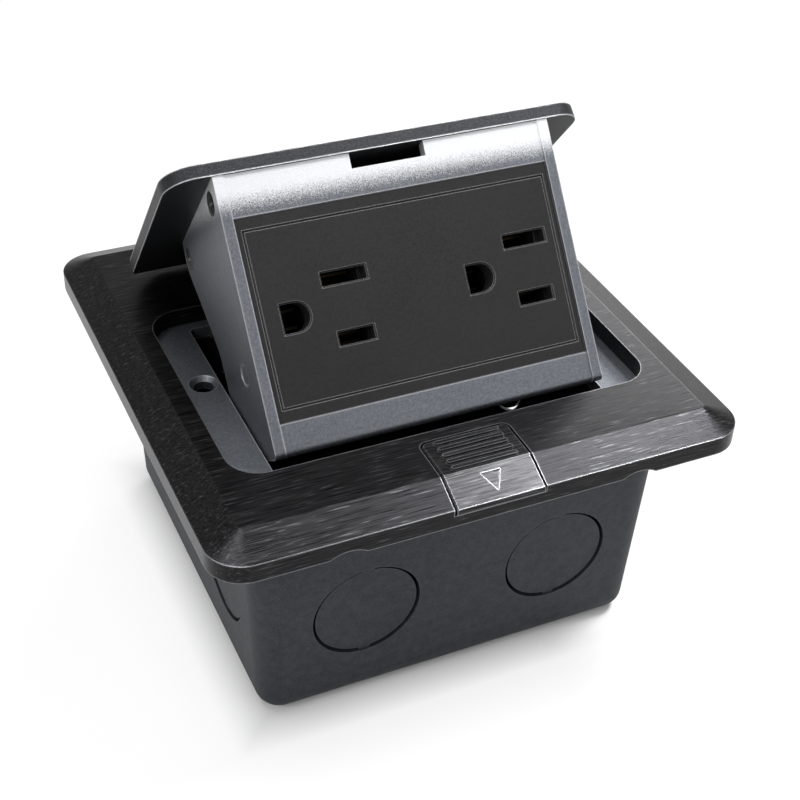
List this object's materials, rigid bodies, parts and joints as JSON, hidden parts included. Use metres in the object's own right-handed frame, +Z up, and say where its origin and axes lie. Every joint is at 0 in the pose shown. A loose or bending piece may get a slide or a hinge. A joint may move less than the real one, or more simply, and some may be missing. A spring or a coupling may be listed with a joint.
{
  "type": "floor socket box",
  "caption": "Pop-up floor socket box: a square bevelled plate over a shallow back box, whose latched lid swings up on a hinge and carries a module of three-pin outlets.",
  "frame": {"origin": "centre of the back box's flat underside, midway between its two base holes", "axes": "+Z up out of the floor, -Y towards the front edge with the release button, +X to the right seen from the front"},
  "size_m": [0.12, 0.1203, 0.1111],
  "materials": {
    "black_metal": "brushed satin",
    "cast_metal": "satin cast",
    "lid_metal": "satin cast",
    "box_steel": "fine-textured",
    "steel": "plated",
    "spring_steel": "oiled",
    "black_plastic": "matte",
    "brass": "bright",
    "green_screw": "satin",
    "foam": "matte"
  },
  "bodies": {
    "box": {"back_box": "box_steel", "earth_washer": "steel", "earth_screw": "brass", "rim_gasket": "foam", "cover_plate": "black_metal", "mounting_frame": "cast_metal", "plate_screws": "steel", "hinge_pin": "steel", "pin_clips": "spring_steel", "torsion_spring_left": "spring_steel", "torsion_spring_right": "spring_steel", "latch_spring_left": "spring_steel", "latch_spring_right": "spring_steel"},
    "flap": {"lid": "lid_metal", "module_frame": "cast_metal", "lid_screws": "steel", "hinge_arm_left": "black_metal", "hinge_arm_right": "black_metal", "arm_rivets": "steel", "receptacle_face": "black_plastic", "receptacle_body": "black_plastic", "rear_cover": "black_plastic", "receptacle_screws": "steel", "cover_screws": "steel", "hot_contact": "brass", "neutral_contact": "brass", "ground_contact": "brass", "hot_terminal_screws": "brass", "neutral_terminal_screws": "steel", "ground_terminal_screws": "green_screw"},
    "latch": {"latch_button": "black_metal", "latch_slide": "steel", "latch_screws": "steel"}
  },
  "joints": [
    {"name": "lid_hinge", "type": "hinge", "parent": "box", "child": "flap", "pos_m": [0, 0.0327, 0.0437], "axis": [1, 0, 0], "range_deg": [0, 50.6], "stiffness_Nm_per_rad": 0.15, "springref_deg": -114.59, "deforming": ["torsion_spring_left", "torsion_spring_right"]},
    {"name": "latch_travel", "type": "slide", "parent": "box", "child": "latch", "axis": [0, -1, 0], "range_m": [0, 0.0025], "stiffness_N_per_m": 200, "springref_m": -0.001, "deforming": ["latch_spring_left", "latch_spring_right"]}
  ]
}
